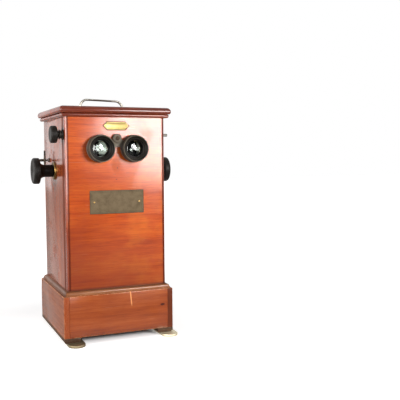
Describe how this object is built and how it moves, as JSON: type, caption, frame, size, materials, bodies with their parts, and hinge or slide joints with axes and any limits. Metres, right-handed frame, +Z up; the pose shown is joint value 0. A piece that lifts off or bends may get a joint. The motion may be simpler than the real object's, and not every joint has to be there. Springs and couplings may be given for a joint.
{
  "type": "tabletop stereo slide viewer",
  "caption": "Wooden tabletop stereo viewer with two focusing eyepieces, side knobs that turn an endless slide chain, a carrying handle, a rear light door and a plinth on strap feet.",
  "frame": {"origin": "on the table, under the middle of the cabinet's footprint", "axes": "+Z up, +X to the right seen from the front; the eyepieces face -Y"},
  "size_m": [0.2696, 0.252, 0.4489],
  "materials": {
    "cabinet_wood": "old shellac polish over mahogany",
    "plinth_wood": "worn shellac polish",
    "lid_wood": "dark polish, worn on the edges",
    "runner_wood": "dull, stained",
    "strap_metal": "dull and tarnished",
    "nickel": "worn nickel plate",
    "plate_brass": "brown, dull brass",
    "bright_brass": "lacquered brass",
    "turned_brass": "turned, slightly tarnished",
    "black_metal": "black paint, rubbed brown at edges",
    "black_bakelite": "moulded, dulled by handling",
    "steel": "bright turned steel",
    "clear_glass": "polished",
    "ground_glass": "ground on one face"
  },
  "bodies": {
    "cabinet": {"front_panel": "cabinet_wood", "left_side": "cabinet_wood", "right_side": "cabinet_wood", "floor_board": "plinth_wood", "back_lower_board": "plinth_wood", "back_top_rail": "cabinet_wood", "lid_board": "lid_wood", "lid_moulding": "lid_wood", "plinth_front": "plinth_wood", "plinth_back": "plinth_wood", "plinth_left": "plinth_wood", "plinth_right": "plinth_wood", "plinth_moulding": "lid_wood", "runner_left": "runner_wood", "runner_right": "runner_wood", "strap_left": "strap_metal", "strap_right": "strap_metal", "strap_screws": "steel", "handle": "nickel", "handle_plates": "nickel", "small_plate": "bright_brass", "large_plate": "plate_brass", "plate_pins": "bright_brass", "collar_left": "bright_brass", "collar_right": "bright_brass", "focus_collar": "black_metal", "focus_bush": "bright_brass", "sleeve_left": "turned_brass", "sleeve_right": "turned_brass", "rod_guide": "turned_brass", "septum": "black_metal", "chain_bands": "steel", "slide_carriers": "steel", "glass_slides": "clear_glass", "low_bearings": "turned_brass", "detent_bush": "runner_wood", "frame_hinge_leaves": "bright_brass"},
    "eyepieces": {"eyecup_left": "black_bakelite", "eyecup_right": "black_bakelite", "barrel_left": "turned_brass", "barrel_right": "turned_brass", "lenses": "clear_glass", "lens_rings": "black_metal", "bridge": "black_metal", "focus_rod": "steel", "bridge_screw": "steel"},
    "focus_drive": {"focus_shaft": "steel", "focus_pinion": "turned_brass", "focus_knob": "black_bakelite"},
    "main_drive": {"main_shaft": "steel", "knob_left": "black_bakelite", "knob_right": "black_bakelite", "chain_wheels": "turned_brass", "star_wheel": "turned_brass"},
    "low_drive": {"low_roller": "turned_brass"},
    "detent": {"detent_spindle": "black_metal", "detent_arm": "black_metal"},
    "door": {"rear_door": "cabinet_wood", "window_glass": "ground_glass"},
    "button": {"turn_button": "bright_brass"}
  },
  "joints": [
    {"name": "focus_turn", "type": "hinge", "parent": "cabinet", "child": "focus_drive", "pos_m": [0, -0.078, 0.3774], "axis": [-1, 0, 0], "range_deg": [-16, 106.2]},
    {"name": "focus_slide", "type": "slide", "parent": "cabinet", "child": "eyepieces", "axis": [0, -1, 0], "range_m": [-0.0015, 0.01]},
    {"name": "main_turn", "type": "hinge", "parent": "cabinet", "child": "main_drive", "pos_m": [0, 0, 0.3112], "axis": [1, 0, 0], "continuous": true},
    {"name": "low_turn", "type": "hinge", "parent": "cabinet", "child": "low_drive", "pos_m": [0, 0, 0.11517], "axis": [1, 0, 0], "continuous": true},
    {"name": "detent_lift", "type": "hinge", "parent": "cabinet", "child": "detent", "pos_m": [-0.07, 0.045, 0.331], "axis": [-1, 0, 0], "range_deg": [0, 14]},
    {"name": "door_swing", "type": "hinge", "parent": "cabinet", "child": "door", "pos_m": [0.0835, 0.0989, 0.24845], "axis": [0, 0, -1], "range_deg": [0, 105]},
    {"name": "button_turn", "type": "hinge", "parent": "cabinet", "child": "button", "pos_m": [-0.0885, 0.097, 0.24095], "axis": [0, 1, 0], "range_deg": [0, 90]}
  ],
  "couplings": [
    {"joint": "focus_turn", "follows": "focus_slide", "rad_per_m": 185.19},
    {"joint": "low_turn", "follows": "main_turn", "ratio": 1}
  ]
}
